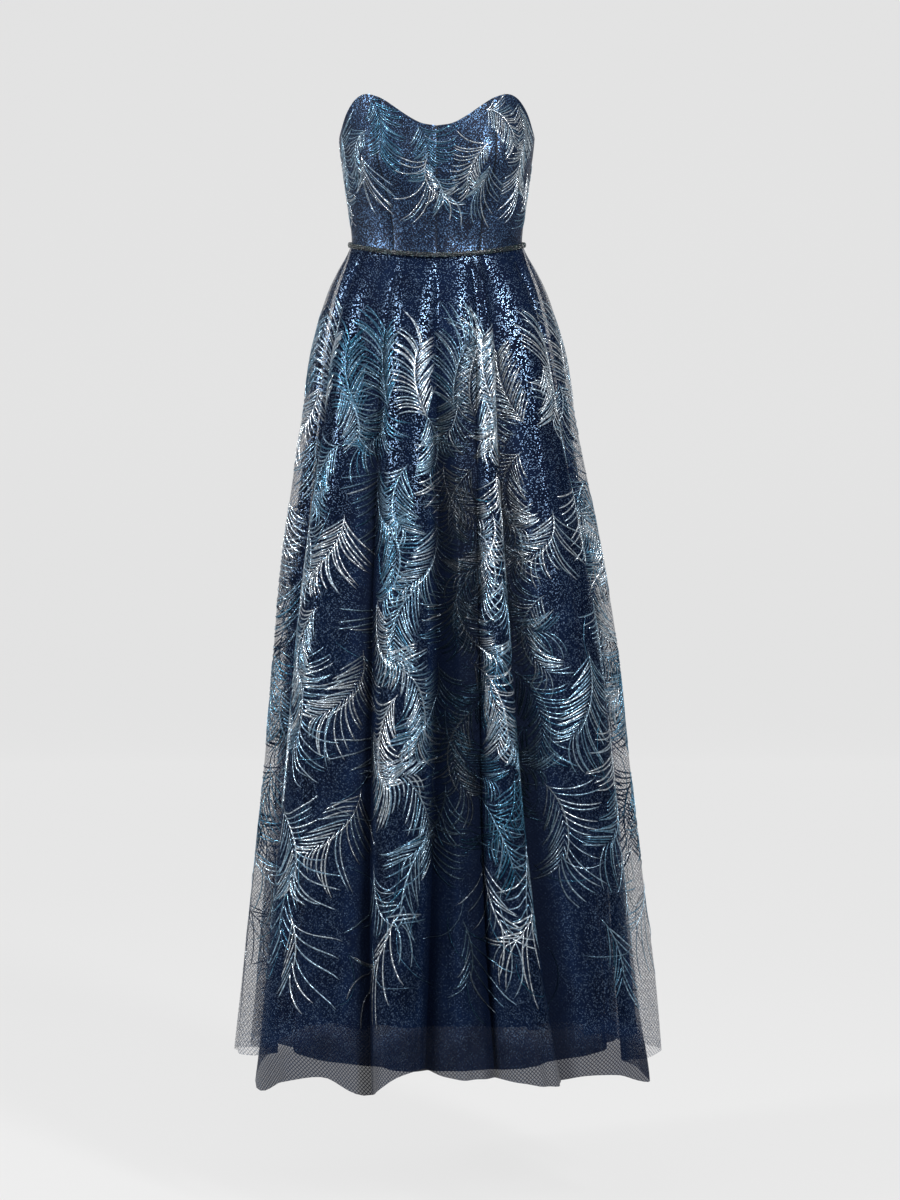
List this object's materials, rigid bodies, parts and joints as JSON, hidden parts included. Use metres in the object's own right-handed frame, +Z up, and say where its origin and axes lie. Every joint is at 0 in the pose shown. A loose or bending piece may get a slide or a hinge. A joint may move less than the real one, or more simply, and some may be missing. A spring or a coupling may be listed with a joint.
{
  "type": "ball gown",
  "caption": "Strapless navy ball gown with a sweetheart bodice, beaded waist cord and long pleated net skirt over a lining, filled out as worn.",
  "frame": {"origin": "middle of the waist, level with the waist seam at the sides, where the gown is held on the wearer", "axes": "+Z up towards the wearer's head, front faces -Y, wearer's left side towards +X"},
  "size_m": [0.6319, 0.5321, 1.4348],
  "materials": {
    "embroidered_bodice": "embroidered net over lining, satin glints",
    "embroidered_net": "fine net with metallic thread embroidery",
    "tulle": "plain soft tulle",
    "lining": "matte crepe",
    "bead_cord": "glossy dark beads",
    "zip_tape": "woven tape",
    "zip_metal": "satin dark enamel"
  },
  "bodies": {
    "gown": {"bodice_front_left": "embroidered_bodice", "bodice_side_front_left": "embroidered_bodice", "bodice_side_back_left": "embroidered_bodice", "bodice_back_left": "embroidered_bodice", "bodice_front_right": "embroidered_bodice", "bodice_side_front_right": "embroidered_bodice", "bodice_side_back_right": "embroidered_bodice", "bodice_back_right": "embroidered_bodice", "overskirt_front": "embroidered_net", "underskirt_front": "tulle", "lining_front": "lining", "overskirt_back_left": "embroidered_net", "underskirt_back_left": "tulle", "lining_back_left": "lining", "overskirt_back_right": "embroidered_net", "underskirt_back_right": "tulle", "lining_back_right": "lining", "waist_cord": "bead_cord", "zip_tape": "zip_tape", "zip_slider": "zip_metal"},
    "zip_pull": {"zip_pull": "zip_metal"}
  },
  "joints": [
    {"name": "zip_pull_swing", "type": "hinge", "parent": "gown", "child": "zip_pull", "pos_m": [0, 0.09944, 0.106], "axis": [1, 0, 0], "range_deg": [0, 150]}
  ]
}
